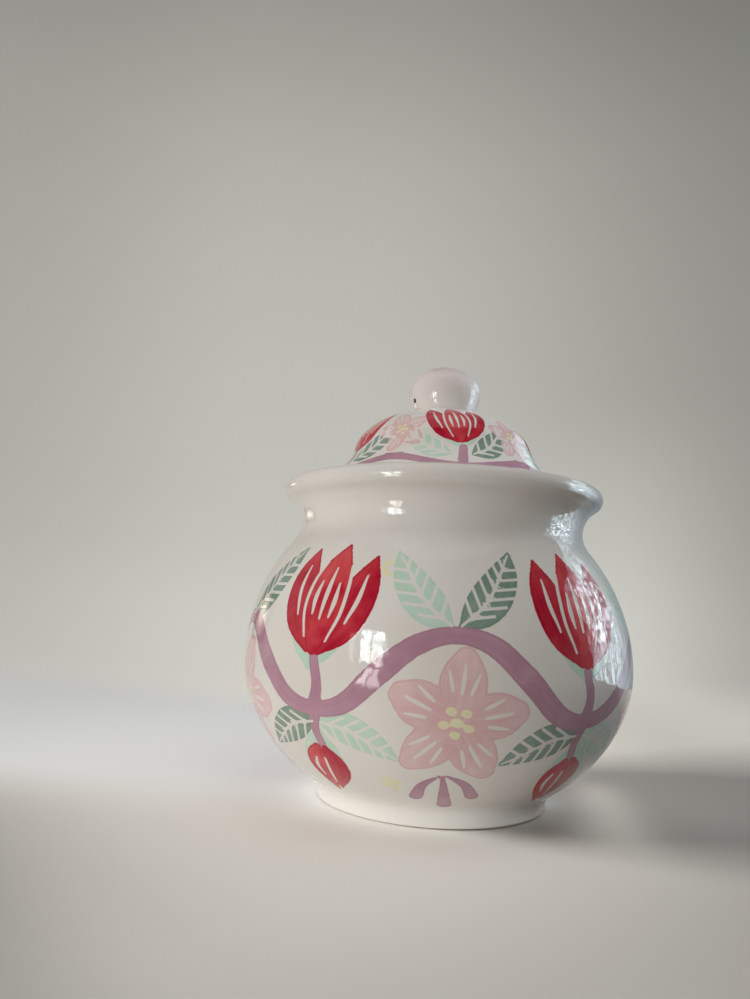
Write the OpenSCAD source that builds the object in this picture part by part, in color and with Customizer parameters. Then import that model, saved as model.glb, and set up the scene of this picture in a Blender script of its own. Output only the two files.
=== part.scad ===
// Honey pot: a round-bellied glazed pot on a foot ring, with a drop-in lid and a ball knob.
// Millimetres, +Z up. The origin is the middle of the foot ring's flat underside.
// Every piece is turned about the Z axis, from an outline of points [radius, height].

/* [Pot] */
// Height of the pot to the top of its lip
pot_h = 88.2; // [80:0.1:105]
// Radius of the belly at its widest
belly_r = 55; // [50:0.5:70]
// Height of the widest part of the belly
belly_z = 38.5; // [32:0.5:44]
// Radius of the flat base that the foot ring is joined to
base_r = 33.4; // [28:0.1:40]
// Outer radius of the neck at its narrowest
neck_r = 41.6; // [38:0.1:46]
// Radius of the hollow curve round the outside of the neck
neck_curve = 8.3; // [6.5:0.1:10]
// How far the lip stands out from the neck
lip_flare = 5.5; // [4:0.1:8]
// Radius of the round bead along the lip
lip_bead = 2.8; // [2:0.1:3.5]
// Thickness of the pot's wall
wall_t = 4.6; // [3.5:0.1:6]
// Thickness of the pot's floor
floor_t = 5.5; // [4:0.1:9]
// Height of the rounding between the floor and the wall inside
floor_round = 7; // [3:0.5:10]

/* [Foot ring] */
// Height of the foot ring
foot_h = 4.4; // [3:0.1:8]
// Width of the foot ring from its side to its well
foot_w = 6; // [4:0.1:10]
// How far the side of the foot ring is set in from the edge of the base
foot_set_in = 0.8; // [0.3:0.1:2]
// Rounding along the bottom edges of the foot ring, above which its side turns into the cove
foot_edge = 0.9; // [0.5:0.1:1.6]

/* [Lid seat] */
// Depth of the seat below the top of the lip
seat_depth = 6.2; // [5:0.1:9]
// How far the seat reaches inward past the wall of the neck
seat_reach = 1.4; // [0.5:0.1:3]
// Rounding of the seat's inner edge
seat_round = 1.6; // [0.8:0.1:2]
// How far the side of the seat slopes in from the lip
seat_slope = 1.2; // [0.5:0.1:2]
// Gap round the edge of the lid
lid_gap = 0.6; // [0.3:0.1:1.2]

/* [Lid] */
// Radius of the lid's crown at its widest level
crown_r = 26.8; // [22:0.1:30]
// Height of the crown above its widest level
crown_h = 14.4; // [10:0.1:22]
// Height of the crown's widest level above the seat
crown_z = 16; // [13:0.1:22]
// Turn up the crown, in degrees, at which the lid's hollow side leaves it
crown_turn = 10; // [5:1:20]
// Thickness of the lid's wall
lid_t = 4.2; // [3:0.1:6]
// Thickness of the brim at its edge
brim_t = 4.6; // [4:0.1:7]
// Rounding along the edge of the brim
brim_edge = 1.4; // [0.6:0.1:1.8]

/* [Locating ring] */
// Depth of the ring below the brim
ring_h = 7; // [4:0.1:12]
// Thickness of the ring
ring_t = 3.6; // [2.5:0.1:5]
// Gap between the ring and the inner edge of the seat
ring_gap = 0.8; // [0.3:0.1:1.5]
// Rounding along the lower edges of the ring
ring_edge = 1; // [0.4:0.1:1.2]

/* [Knob] */
// Radius of the knob at its widest level
knob_r = 10.9; // [10:0.1:14]
// Radius of the knob's flat underside
knob_base_r = 9.1; // [7:0.1:9.5]
// Height of the knob's widest level above the lid
knob_low_h = 6.5; // [4:0.1:9]
// Height of the knob's top above its widest level
knob_top_h = 8.5; // [6:0.1:12]

/* [Hidden] */
$fn = 120;

glaze_colour = [0.93, 0.91, 0.87];
foot_colour = [0.86, 0.78, 0.68];
knob_colour = [0.94, 0.89, 0.87];

// Points along each curve of an outline, and halvings in each search
curve_steps = 14;
search_steps = 40;

// Lip: its bead and the neck's hollow curve touch, which sets the height of the neck
lip_c = [neck_r + lip_flare - lip_bead, pot_h - lip_bead];
neck_c_r = neck_r + neck_curve;
lip_lean = acos((neck_c_r - lip_c.x) / (neck_curve + lip_bead));
neck_c = [neck_c_r, lip_c.y - (neck_curve + lip_bead) * sin(lip_lean)];

// Belly: one ellipse runs down to the base, another up to the shoulder
belly_c = [0, belly_z];
base_turn = -acos(base_r / belly_r);
low_belly = [belly_r, (foot_h - belly_z) / sin(base_turn)];

// Cove: a hollow curve that leaves the foot ring's side upright and touches the belly.
// The joint between the foot ring and the pot cuts through it.
side_r = base_r - foot_set_in;
well_r = side_r - foot_w;
function cove_r_at(turn) =
    (belly_r * cos(turn) - side_r) / (1 - ellipse_normal(low_belly, turn).x);
function cove_z_at(turn) = inset_point(belly_c, low_belly, -cove_r_at(turn), turn).y;
function find_cove_turn(low, high, left) =
    let (mid = (low + high) / 2)
    left == 0 ? mid
    : cove_z_at(mid) > foot_edge ? find_cove_turn(mid, high, left - 1)
    : find_cove_turn(low, mid, left - 1);
cove_turn = find_cove_turn(base_turn, 0, search_steps);
cove_r = cove_r_at(cove_turn);
cove_c = [side_r + cove_r, foot_edge];
cove_out = ellipse_normal(low_belly, cove_turn);
cove_end = 180 + atan2(cove_out.y, cove_out.x);
cove_joint = 180 - asin((foot_h - foot_edge) / cove_r);

// The shoulder meets the neck's hollow curve where the two have one slope
function shoulder_turn_at(slope) = acos((neck_r + neck_curve * (1 - cos(slope))) / belly_r);
function shoulder_rise_at(slope) =
    (neck_c.y - belly_z - neck_curve * sin(slope)) / sin(shoulder_turn_at(slope));
function too_flat(slope) =
    shoulder_rise_at(slope) * tan(slope) < belly_r * tan(shoulder_turn_at(slope));
function find_slope(low, high, left) =
    let (mid = (low + high) / 2)
    left == 0 ? mid : too_flat(mid) ? find_slope(mid, high, left - 1) : find_slope(low, mid, left - 1);
neck_slope = find_slope(1, 85, search_steps);
shoulder_turn = shoulder_turn_at(neck_slope);
high_belly = [belly_r, shoulder_rise_at(neck_slope)];

// Floor inside: the wall stops floor_round above it, and a curve leads over to the flat
floor_z = foot_h + floor_t;
function wall_point(turn) = inset_point(belly_c, low_belly, wall_t, turn);
function find_floor_turn(low, high, left) =
    let (mid = (low + high) / 2)
    left == 0 ? mid
    : wall_point(mid).y < floor_z + floor_round ? find_floor_turn(mid, high, left - 1)
    : find_floor_turn(low, mid, left - 1);
floor_turn = find_floor_turn(base_turn, 0, search_steps);
wall_foot = wall_point(floor_turn);
wall_foot_out = ellipse_normal(low_belly, floor_turn);
floor_run = (wall_foot.y - floor_z) / wall_foot_out.x;
floor_corner = [wall_foot.x + wall_foot_out.y * floor_run, floor_z];
floor_flat_r = floor_corner.x - floor_run;

// Seat: a step inside the lip, with a rounded inner edge that stands in from the neck
seat_z = pot_h - seat_depth;
seat_r = lip_c.x - lip_bead - seat_slope;
seat_in_r = neck_r - wall_t - seat_reach;

// Lid: the crown turns into a hollow curve that ends at the brim
brim_r = seat_r - lid_gap;
crown_c = [0, seat_z + crown_z];
crown = [crown_r, crown_h];
crown_end = ellipse_point(crown_c, crown, crown_turn);
crown_out = ellipse_normal(crown, crown_turn);
brim_top = [brim_r - brim_edge, seat_z + brim_t];
to_crown = crown_end - brim_top;
hollow_r = -(to_crown * to_crown) / (2 * to_crown * crown_out);
hollow_c = crown_end + hollow_r * crown_out;
hollow_start = 180 + atan2(crown_out.y, crown_out.x);
hollow_end = 360 + atan2(brim_top.y - hollow_c.y, brim_top.x - hollow_c.x);

// Locating ring: its inside lines up with the hollow under the lid
ring_r = seat_in_r - ring_gap;
ring_in_r = ring_r - ring_t;
hollow_in_r = hollow_r + lid_t;
hollow_in_end = 180 + acos((hollow_c.x - ring_in_r) / hollow_in_r);

// Knob: it stands on a flat at the top of the crown
knob_turn = acos(knob_base_r / crown_r);
knob_z = crown_c.y + crown_h * sin(knob_turn);
knob_c = [0, knob_z + knob_low_h];
knob_base_turn = -acos(knob_base_r / knob_r);
low_knob = [knob_r, -knob_low_h / sin(knob_base_turn)];
high_knob = [knob_r, knob_top_h];

// Curves that the outlines are made of, from one angle to another
function steps(from, to) = [for (i = [0:curve_steps]) from + (to - from) * i / curve_steps];
function arc(centre, r, from, to) =
    [for (a = steps(from, to)) centre + r * [cos(a), sin(a)]];
function ellipse_point(centre, radii, turn) =
    centre + [radii.x * cos(turn), radii.y * sin(turn)];
function ellipse_normal(radii, turn) =
    let (out = [cos(turn) / radii.x, sin(turn) / radii.y]) out / norm(out);
function inset_point(centre, radii, inset, turn) =
    ellipse_point(centre, radii, turn) - inset * ellipse_normal(radii, turn);
function ellipse(centre, radii, from, to, inset = 0) =
    [for (a = steps(from, to)) inset_point(centre, radii, inset, a)];
function bend(from, corner, to) =
    [for (u = steps(0, 1)) (1 - u) * (1 - u) * from + 2 * u * (1 - u) * corner + u * u * to];

module turned(outline) {
    rotate_extrude() polygon(outline);
}

// Thrown shell: base, cove, belly, neck and rolled lip, with the lid's seat inside the lip
module pot_body() {
    outside = concat(
        arc(cove_c, cove_r, cove_joint, cove_end),
        ellipse(belly_c, low_belly, cove_turn, 0),
        ellipse(belly_c, high_belly, 0, shoulder_turn),
        arc(neck_c, neck_curve, 180 + neck_slope, 180 - lip_lean),
        arc(lip_c, lip_bead, -lip_lean, 180));
    seat = concat(
        [[seat_r, seat_z]],
        arc([seat_in_r + seat_round, seat_z - seat_round], seat_round, 90, 180));
    inside = concat(
        arc(neck_c, neck_curve + wall_t, 180, 180 + neck_slope),
        ellipse(belly_c, high_belly, shoulder_turn, 0, wall_t),
        ellipse(belly_c, low_belly, 0, floor_turn, wall_t),
        bend(wall_foot, floor_corner, [floor_flat_r, floor_z]));
    color(glaze_colour)
        turned(concat([[0, foot_h]], outside, seat, inside, [[0, floor_z]]));
}

// Ring that the pot stands on, with a well inside it
module foot_ring() {
    color(foot_colour)
        turned(concat(
            [[well_r, foot_h]],
            arc([well_r + foot_edge, foot_edge], foot_edge, 180, 270),
            arc([side_r - foot_edge, foot_edge], foot_edge, 270, 360),
            arc(cove_c, cove_r, 180, cove_joint)));
}

// Domed cover, whose brim lies flat on the seat
module lid() {
    outside = concat(
        ellipse(crown_c, crown, knob_turn, crown_turn),
        arc(hollow_c, hollow_r, hollow_start, hollow_end));
    brim = concat(
        arc(brim_top - [0, brim_edge], brim_edge, 90, 0),
        arc([brim_top.x, seat_z + brim_edge], brim_edge, 0, -90));
    inside = concat(
        [[ring_in_r, seat_z]],
        arc(hollow_c, hollow_in_r, hollow_in_end, hollow_start),
        ellipse(crown_c, crown, crown_turn, 90, lid_t));
    color(glaze_colour)
        turned(concat([[0, knob_z]], outside, brim, inside));
}

// Ring under the brim, which drops into the neck and keeps the lid in its place
module locating_ring() {
    low_z = seat_z - ring_h;
    color(glaze_colour)
        turned(concat(
            [[ring_r, seat_z], [ring_in_r, seat_z]],
            arc([ring_in_r + ring_edge, low_z + ring_edge], ring_edge, 180, 270),
            arc([ring_r - ring_edge, low_z + ring_edge], ring_edge, 270, 360)));
}

// Slightly flattened ball that the lid is lifted by
module knob() {
    color(knob_colour)
        turned(concat(
            [[0, knob_z]],
            ellipse(knob_c, low_knob, knob_base_turn, 0),
            ellipse(knob_c, high_knob, 0, 90)));
}

pot_body();
foot_ring();
lid();
locating_ring();
knob();
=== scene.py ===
# %% [markdown]
# # A hand-painted honey pot
#
# The object is a round-bellied earthenware pot with a drop-in lid and a ball knob. It was thrown on
# a wheel, painted by brush and covered with a clear gloss glaze. This lesson dresses its five clay
# pieces: the pot, its foot ring, the lid, the ring under the lid and the knob.
#
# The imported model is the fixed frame. It says where each piece is and how the lid moves, so the first
# step loads it and notes its box. Lengths below are in millimetres, and MM turns them into metres.

# %% Load the frame
import math
import random

import bpy
import numpy as np
from mathutils import Matrix, Vector


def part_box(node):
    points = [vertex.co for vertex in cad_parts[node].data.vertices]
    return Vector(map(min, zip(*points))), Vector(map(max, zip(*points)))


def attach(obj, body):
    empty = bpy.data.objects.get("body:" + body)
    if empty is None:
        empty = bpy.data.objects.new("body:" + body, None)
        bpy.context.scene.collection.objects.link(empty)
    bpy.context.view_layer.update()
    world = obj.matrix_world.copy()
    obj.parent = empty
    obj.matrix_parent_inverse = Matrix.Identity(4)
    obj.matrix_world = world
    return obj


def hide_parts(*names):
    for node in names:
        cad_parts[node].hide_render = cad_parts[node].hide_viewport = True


MM = 0.001
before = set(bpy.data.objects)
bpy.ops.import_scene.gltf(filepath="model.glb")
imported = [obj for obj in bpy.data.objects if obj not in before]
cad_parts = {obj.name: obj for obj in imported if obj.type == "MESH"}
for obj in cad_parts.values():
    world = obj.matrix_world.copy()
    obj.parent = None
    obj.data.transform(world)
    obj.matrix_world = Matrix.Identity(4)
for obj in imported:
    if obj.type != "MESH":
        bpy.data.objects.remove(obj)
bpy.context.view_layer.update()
scene = bpy.context.scene
scene.view_settings.view_transform = "Standard"

# %% [markdown]
# ## The camera
#
# The photograph was taken close up with a phone, from a little below the middle of the pot and looking
# slightly up. A close wide lens makes the near side of the lip stand up in front of the lid, so the
# distance matters as much as the angle. Both are set here, with the small roll of a hand-held shot.

# %% Camera
CAMERA_DISTANCE = 218.1
CAMERA_HEIGHT = 53.8
CAMERA_YAW = math.radians(5.22)
CAMERA_PITCH = math.radians(8.06)
CAMERA_ROLL = math.radians(2.96)
CAMERA_LENS = 26.08

bpy.ops.object.camera_add(location=(0, -CAMERA_DISTANCE * MM, CAMERA_HEIGHT * MM))
camera = bpy.context.object
turn_sideways = Matrix.Rotation(CAMERA_YAW, 3, "Z")
turn_up = Matrix.Rotation(math.pi / 2 + CAMERA_PITCH, 3, "X")
turn_level = Matrix.Rotation(CAMERA_ROLL, 3, "Z")
camera.rotation_euler = (turn_sideways @ turn_up @ turn_level).to_euler()
camera.data.lens = CAMERA_LENS
camera.data.clip_start = 0.01
scene.camera = camera
print("camera at", [round(c / MM, 1) for c in camera.location], "mm, lens", CAMERA_LENS)

# %% [markdown]
# ## Turning an outline
#
# Every piece here is round, as it comes off a potter's wheel. In Blender that is one line, spun about
# the upright axis. The line starts as a single point, which is extruded from corner to corner of the
# outline. After the spin, the two ends of the ring lie on each other, so the doubles are merged, and
# then the faces are turned to point outwards.

# %% Helpers for outlines
def cosd(angle):
    """Cosine of an angle in degrees."""
    return math.cos(math.radians(angle))


def sind(angle):
    """Sine of an angle in degrees."""
    return math.sin(math.radians(angle))


def acosd(ratio):
    """Angle in degrees whose cosine is ratio."""
    return math.degrees(math.acos(ratio))


def ellipse_normal(radii, turn):
    """Direction straight out of an ellipse, at a turn in degrees."""
    return Vector((cosd(turn) / radii[0], sind(turn) / radii[1])).normalized()


def ellipse_point(centre, radii, turn, inset=0):
    """Point [radius, height] on an ellipse, moved in along its normal by inset."""
    point = Vector((centre[0] + radii[0] * cosd(turn), centre[1] + radii[1] * sind(turn)))
    return point - inset * ellipse_normal(radii, turn)


def ellipse(centre, radii, start, end, steps=12, inset=0):
    """Points along an ellipse, from one turn in degrees to another."""
    turns = [start + (end - start) * step / steps for step in range(steps + 1)]
    return [ellipse_point(centre, radii, turn, inset) for turn in turns]


def arc(centre, radius, start, end, steps=12):
    """Points along a circle."""
    return ellipse(centre, (radius, radius), start, end, steps)


def bend(start, corner, end, steps=10):
    """Points along a smooth bend that leaves start and reaches end along the lines to corner."""
    start, corner, end = Vector(start), Vector(corner), Vector(end)
    shares = [step / steps for step in range(steps + 1)]
    return [(1 - u) ** 2 * start + 2 * u * (1 - u) * corner + u**2 * end for u in shares]


def without_repeats(points):
    """Drops each point that repeats the one before."""
    kept = [Vector(points[0])]
    for point in points[1:]:
        if (Vector(point) - kept[-1]).length > 0.01:
            kept.append(Vector(point))
    return kept


print("a quarter circle of radius 1 ends at", [round(c, 3) for c in arc((0, 0), 1, 0, 90)[-1]])


# %% Helper for turned pieces
def deselect_all():
    """Leaves edit mode if needed and deselects every object."""
    if bpy.context.object and bpy.context.object.mode != "OBJECT":
        bpy.ops.object.mode_set(mode="OBJECT")
    bpy.ops.object.select_all(action="DESELECT")


def turned(name, outline, steps):
    """Draws an outline by extruding a point along it, and spins it round the upright axis."""
    outline = without_repeats(outline)
    deselect_all()
    bpy.ops.mesh.primitive_plane_add(size=MM)
    piece = bpy.context.object
    piece.name = piece.data.name = name
    bpy.ops.object.mode_set(mode="EDIT")
    bpy.ops.mesh.select_mode(type="VERT")
    bpy.ops.mesh.merge(type="CENTER")
    bpy.ops.transform.translate(value=(outline[0].x * MM, 0, outline[0].y * MM))
    for before, after in zip(outline, outline[1:]):
        step = ((after.x - before.x) * MM, 0, (after.y - before.y) * MM)
        bpy.ops.mesh.extrude_region_move(TRANSFORM_OT_translate={"value": step})
    bpy.ops.mesh.select_all(action="SELECT")
    bpy.ops.mesh.spin(steps=steps, angle=2 * math.pi, center=(0, 0, 0), axis=(0, 0, 1))
    bpy.ops.mesh.select_all(action="SELECT")
    bpy.ops.mesh.remove_doubles(threshold=0.002 * MM)
    bpy.ops.mesh.normals_make_consistent(inside=False)
    bpy.ops.object.mode_set(mode="OBJECT")
    bpy.ops.object.shade_smooth()
    print(name, "outline points", len(outline), "faces", len(piece.data.polygons))
    return piece


# %% [markdown]
# ## Sizes from the frame
#
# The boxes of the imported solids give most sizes: how high and wide the pot is, where its seat and lid
# lie, and how big the knob is. The rest are the radii of the curves between them, as in the part's
# source.

# %% Sizes
def node_box(node):
    """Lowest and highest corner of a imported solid, in millimetres."""
    return [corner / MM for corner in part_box(node)]


pot_low, pot_high = node_box("pot_body")
lid_low, lid_high = node_box("lid")
ring_low, ring_high = node_box("locating_ring")
knob_low, knob_high = node_box("knob")

belly_r = pot_high.x
pot_h = pot_high.z
foot_h = pot_low.z
seat_z = lid_low.z
brim_r = lid_high.x
knob_z = knob_low.z
knob_r = knob_high.x
ring_r = ring_high.x
print("belly radius", round(belly_r, 1), "pot height", round(pot_h, 1), "seat at", round(seat_z, 1))

# %% [markdown]
# ## The curves of the pot's side
#
# The belly is two half ellipses, a deep one below its widest line and a higher one above. The neck is a
# hollow curve that touches the lip's round bead, and the shoulder runs into it where the two have the
# same slope. At the bottom, a cove leads from the belly down to the foot's upright side, and touches
# both. A potter feels for such joints with a sponge. Here each one is found by halving: try the middle
# of a range, keep the half that still holds the answer, and repeat.

# %% Neck and shoulder
BASE_R = 33.4
BELLY_Z = 38.5
NECK_R = 41.6
NECK_CURVE = 8.3
LIP_FLARE = 5.5
LIP_BEAD = 2.8
HALVINGS = 40

lip_centre = Vector((NECK_R + LIP_FLARE - LIP_BEAD, pot_h - LIP_BEAD))
neck_centre_r = NECK_R + NECK_CURVE
lip_lean = acosd((neck_centre_r - lip_centre.x) / (NECK_CURVE + LIP_BEAD))
neck_centre = Vector((neck_centre_r, lip_centre.y - (NECK_CURVE + LIP_BEAD) * sind(lip_lean)))
belly_centre = Vector((0, BELLY_Z))
base_turn = -acosd(BASE_R / belly_r)
low_belly = (belly_r, (foot_h - BELLY_Z) / sind(base_turn))


def shoulder_at(slope):
    """Turn and height of the shoulder's ellipse, if it meets the neck at this slope."""
    turn = acosd((NECK_R + NECK_CURVE * (1 - cosd(slope))) / belly_r)
    return turn, (neck_centre.y - BELLY_Z - NECK_CURVE * sind(slope)) / sind(turn)


flat, steep = 1, 85
for halving in range(HALVINGS):
    neck_slope = (flat + steep) / 2
    shoulder_turn, shoulder_rise = shoulder_at(neck_slope)
    ellipse_slope = belly_r * math.tan(math.radians(shoulder_turn)) / shoulder_rise
    if math.tan(math.radians(neck_slope)) < ellipse_slope:
        flat = neck_slope
    else:
        steep = neck_slope
high_belly = (belly_r, shoulder_rise)
print("neck slope", round(neck_slope, 2), "shoulder turn", round(shoulder_turn, 2))

# %% Cove
FOOT_SET_IN = 0.8
FOOT_EDGE = 0.9
side_r = BASE_R - FOOT_SET_IN


def cove_at(turn):
    """Radius and centre height of the cove that touches the foot's side, and the belly at this turn."""
    normal = ellipse_normal(low_belly, turn)
    radius = (belly_r * cosd(turn) - side_r) / (1 - normal.x)
    return radius, BELLY_Z + low_belly[1] * sind(turn) + radius * normal.y


low_turn, high_turn = base_turn, 0
for halving in range(HALVINGS):
    cove_turn = (low_turn + high_turn) / 2
    cove_r, cove_z = cove_at(cove_turn)
    if cove_z > FOOT_EDGE:
        low_turn = cove_turn
    else:
        high_turn = cove_turn
cove_centre = Vector((side_r + cove_r, FOOT_EDGE))
cove_out = ellipse_normal(low_belly, cove_turn)
cove_end = 180 + math.degrees(math.atan2(cove_out.y, cove_out.x))
print("cove radius", round(cove_r, 2), "meets the belly at turn", round(cove_turn, 2))

# %% [markdown]
# ## The pot
#
# The shell runs over the belly and the neck to the rolled lip, and back down inside past the seat for
# the lid. The glaze is poured over the pot when its foot is already on, so it runs down over the foot's
# side in one skin. The outline therefore starts under the base, goes down behind that skin and comes up
# in front of it, and no seam shows above the foot.
#
# The painted side has close points. The paint is laid on the mesh points later, and needs them about as
# fine as a brush's hairs.

# %% Pot outline
WALL_T = 4.6
FLOOR_T = 5.5
FLOOR_TURN = -35.1
LID_GAP = 0.6
SEAT_REACH = 1.4
SEAT_ROUND = 1.6
FOOT_W = 6
GLAZE_T = 0.35
GLAZE_STOP = -50
EDGE_LOOP = 0.5
BASE_LOOP = 1.5
SEAT_CORNER = 0.4

floor_z = foot_h + FLOOR_T
seat_r = brim_r + LID_GAP
seat_in_r = NECK_R - WALL_T - SEAT_REACH
well_r = side_r - FOOT_W
edge_centre = Vector((side_r - FOOT_EDGE, FOOT_EDGE))

under_base = [(0, foot_h), (well_r, foot_h), (side_r - BASE_LOOP, foot_h), (side_r - GLAZE_T, foot_h)]
skin = arc(edge_centre, FOOT_EDGE - GLAZE_T, 0, GLAZE_STOP, 5)
skin += arc(edge_centre, FOOT_EDGE, GLAZE_STOP, 0, 6)
skin += arc(cove_centre, cove_r, 180, cove_end, 14)
painted_side = ellipse(belly_centre, low_belly, cove_turn, 0, 64)
painted_side += ellipse(belly_centre, high_belly, 0, shoulder_turn, 54)
painted_side += arc(neck_centre, NECK_CURVE, 180 + neck_slope, 180 - lip_lean, 14)
painted_side = without_repeats(painted_side)
lip = arc(lip_centre, LIP_BEAD, -lip_lean, 180, 14)
seat = [(seat_r, seat_z + SEAT_CORNER), (seat_r - SEAT_CORNER, seat_z)]
seat += [(seat_in_r + SEAT_ROUND + EDGE_LOOP, seat_z)]
seat += arc((seat_in_r + SEAT_ROUND, seat_z - SEAT_ROUND), SEAT_ROUND, 90, 180, 5)
inside = arc(neck_centre, NECK_CURVE + WALL_T, 180, 180 + neck_slope, 5)
inside += ellipse(belly_centre, high_belly, shoulder_turn, 0, 10, WALL_T)
inside += ellipse(belly_centre, low_belly, 0, FLOOR_TURN, 8, WALL_T)
wall_foot = inside[-1]
wall_out = ellipse_normal(low_belly, FLOOR_TURN)
down_wall = Vector((wall_out.y, -wall_out.x))
corner = wall_foot + down_wall * (wall_foot.y - floor_z) / wall_out.x
flat_r = corner.x - (corner - wall_foot).length
inside += bend(wall_foot, corner, (flat_r, floor_z), 6)
print("floor inside at", round(floor_z, 1), "flat to radius", round(flat_r, 1))

# %% Pot
POT_STEPS = 448
pot_outline = under_base + skin + painted_side + lip + seat + inside + [(0, floor_z)]
pot = turned("pot_shell", pot_outline, POT_STEPS)
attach(pot, "pot")
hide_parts("pot_body")

# %% [markdown]
# ## The foot ring
#
# A turned ring lifts the pot off the table. Its side is under the glaze skin. Its bottom edge is wiped
# clean before the firing, so that it doesn't stick to the kiln shelf, and bare clay shows there as a
# thin brown line. Inside it, a small round fills the corner between the ring and the base.

# %% Foot ring
FOOT_STEPS = 192
SKIN_GAP = 0.02
WELL_ROUND = 1.5
RING_ROOT = 0.2
GLAZE_FADE = 8
ring_top = foot_h + RING_ROOT
foot_outline = [(well_r - WELL_ROUND, ring_top)]
foot_outline += bend((well_r - WELL_ROUND, foot_h), (well_r, foot_h), (well_r, foot_h - WELL_ROUND), 6)
foot_outline += arc((well_r + FOOT_EDGE, FOOT_EDGE), FOOT_EDGE, 180, 270, 8)
foot_outline += arc(edge_centre, FOOT_EDGE, 270, 360 + GLAZE_STOP - GLAZE_FADE, 5)
foot_outline += arc(edge_centre, FOOT_EDGE - GLAZE_T - SKIN_GAP, GLAZE_STOP, 0, 5)
foot_outline += [(side_r - GLAZE_T - SKIN_GAP, ring_top), (well_r - WELL_ROUND, ring_top)]
foot = turned("foot_rim", foot_outline, FOOT_STEPS)
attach(foot, "pot")
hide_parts("foot_ring")

# %% [markdown]
# ## The lid
#
# The lid is a low dome that runs out into a flat brim through a hollow curve. The brim lies on the seat
# inside the pot's lip. The hollow's radius isn't chosen: it is the one circle that leaves the dome
# smoothly and ends at the brim's edge, so it follows from those two.

# %% Lid curves
CROWN_R = 26.8
CROWN_H = 14.4
CROWN_Z = 16
CROWN_TURN = 10
LID_T = 4.2
BRIM_T = 4.6
BRIM_EDGE = 1.4
RING_T = 3.6

crown_centre = Vector((0, seat_z + CROWN_Z))
crown = (CROWN_R, CROWN_H)
crown_end = ellipse_point(crown_centre, crown, CROWN_TURN)
crown_out = ellipse_normal(crown, CROWN_TURN)
brim_top = Vector((brim_r - BRIM_EDGE, seat_z + BRIM_T))
to_crown = crown_end - brim_top
hollow_r = -to_crown.length_squared / (2 * to_crown.dot(crown_out))
hollow_centre = crown_end + hollow_r * crown_out
hollow_start = 180 + math.degrees(math.atan2(crown_out.y, crown_out.x))
from_centre = brim_top - hollow_centre
hollow_end = 360 + math.degrees(math.atan2(from_centre.y, from_centre.x))
ring_in_r = ring_r - RING_T
hollow_in_r = hollow_r + LID_T
hollow_in_end = 180 + acosd((hollow_centre.x - ring_in_r) / hollow_in_r)
print("hollow radius", round(hollow_r, 1), "from turn", round(hollow_start), "to", round(hollow_end))

# %% Lid
LID_STEPS = 360
CROWN_START = 88
lid_side = ellipse(crown_centre, crown, CROWN_START, CROWN_TURN, 52)
lid_side += arc(hollow_centre, hollow_r, hollow_start, hollow_end, 34)
lid_side = without_repeats(lid_side)
brim = arc(brim_top - Vector((0, BRIM_EDGE)), BRIM_EDGE, 90, 0, 6)
brim += arc((brim_top.x, seat_z + BRIM_EDGE), BRIM_EDGE, 0, -90, 6)
under = [(ring_r + EDGE_LOOP, seat_z), (ring_in_r, seat_z)]
under += arc(hollow_centre, hollow_in_r, hollow_in_end, hollow_start, 12)
under += ellipse(crown_centre, crown, CROWN_TURN, 90, 16, LID_T)
lid_outline = [(0, crown_centre.y + CROWN_H)] + lid_side + brim + under
lid = turned("lid_cover", lid_outline, LID_STEPS)
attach(lid, "lid")
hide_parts("lid")

# %% [markdown]
# ## The ring under the lid
#
# A plain ring under the lid drops into the neck and keeps the lid from sliding off. It is hidden until
# the lid is lifted. Its lower edges are rounded, as a wet finger leaves them.

# %% Locating ring
RING_STEPS = 144
RING_EDGE = 1
ring_foot = ring_low.z + RING_EDGE
ring_outline = [(ring_r, seat_z), (ring_in_r, seat_z)]
ring_outline += arc((ring_in_r + RING_EDGE, ring_foot), RING_EDGE, 180, 270, 6)
ring_outline += arc((ring_r - RING_EDGE, ring_foot), RING_EDGE, 270, 360, 6)
ring_outline += [(ring_r, seat_z)]
ring = turned("lid_ring", ring_outline, RING_STEPS)
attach(ring, "lid")
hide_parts("locating_ring")

# %% [markdown]
# ## The knob
#
# The knob is a ball, pressed a little flat onto the lid's crown. Its base goes just into the crown, so
# the joint is closed.

# %% Knob
KNOB_STEPS = 160
KNOB_LOW_H = 6.5
KNOB_BASE_R = 9.1
KNOB_ROOT = 0.4
knob_top_h = knob_high.z - knob_z - KNOB_LOW_H
knob_centre = Vector((0, knob_z + KNOB_LOW_H))
knob_base_turn = -acosd(KNOB_BASE_R / knob_r)
low_knob = (knob_r, -KNOB_LOW_H / sind(knob_base_turn))
knob_outline = [(0, knob_z - KNOB_ROOT), (KNOB_BASE_R - EDGE_LOOP, knob_z - KNOB_ROOT)]
knob_outline += ellipse(knob_centre, low_knob, knob_base_turn, 0, 18)
knob_outline += ellipse(knob_centre, (knob_r, knob_top_h), 0, 90, 26)
knob = turned("ball_knob", knob_outline, KNOB_STEPS)
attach(knob, "lid")
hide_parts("knob")

# %% [markdown]
# ## A pit in the knob
#
# Gas that leaves the clay in the kiln can leave a pit in the glaze. There is one low on the knob's left.
# The faces around it are divided finely, and then the few at its middle are pushed in with proportional
# editing, which takes their neighbours along and gives the pit a round rim.

# %% Pit
PIT_WAY = Vector((-0.82, -0.49, -0.30)).normalized()
PIT_DEPTH = 0.7
PIT_R = 0.55
PIT_CUTS = 4
knob_middle = Vector((0, 0, knob_centre.y))


def toward_pit(point):
    """How far a point of the knob looks towards the pit."""
    return (point.co / MM - knob_middle).normalized().dot(PIT_WAY)


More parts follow.
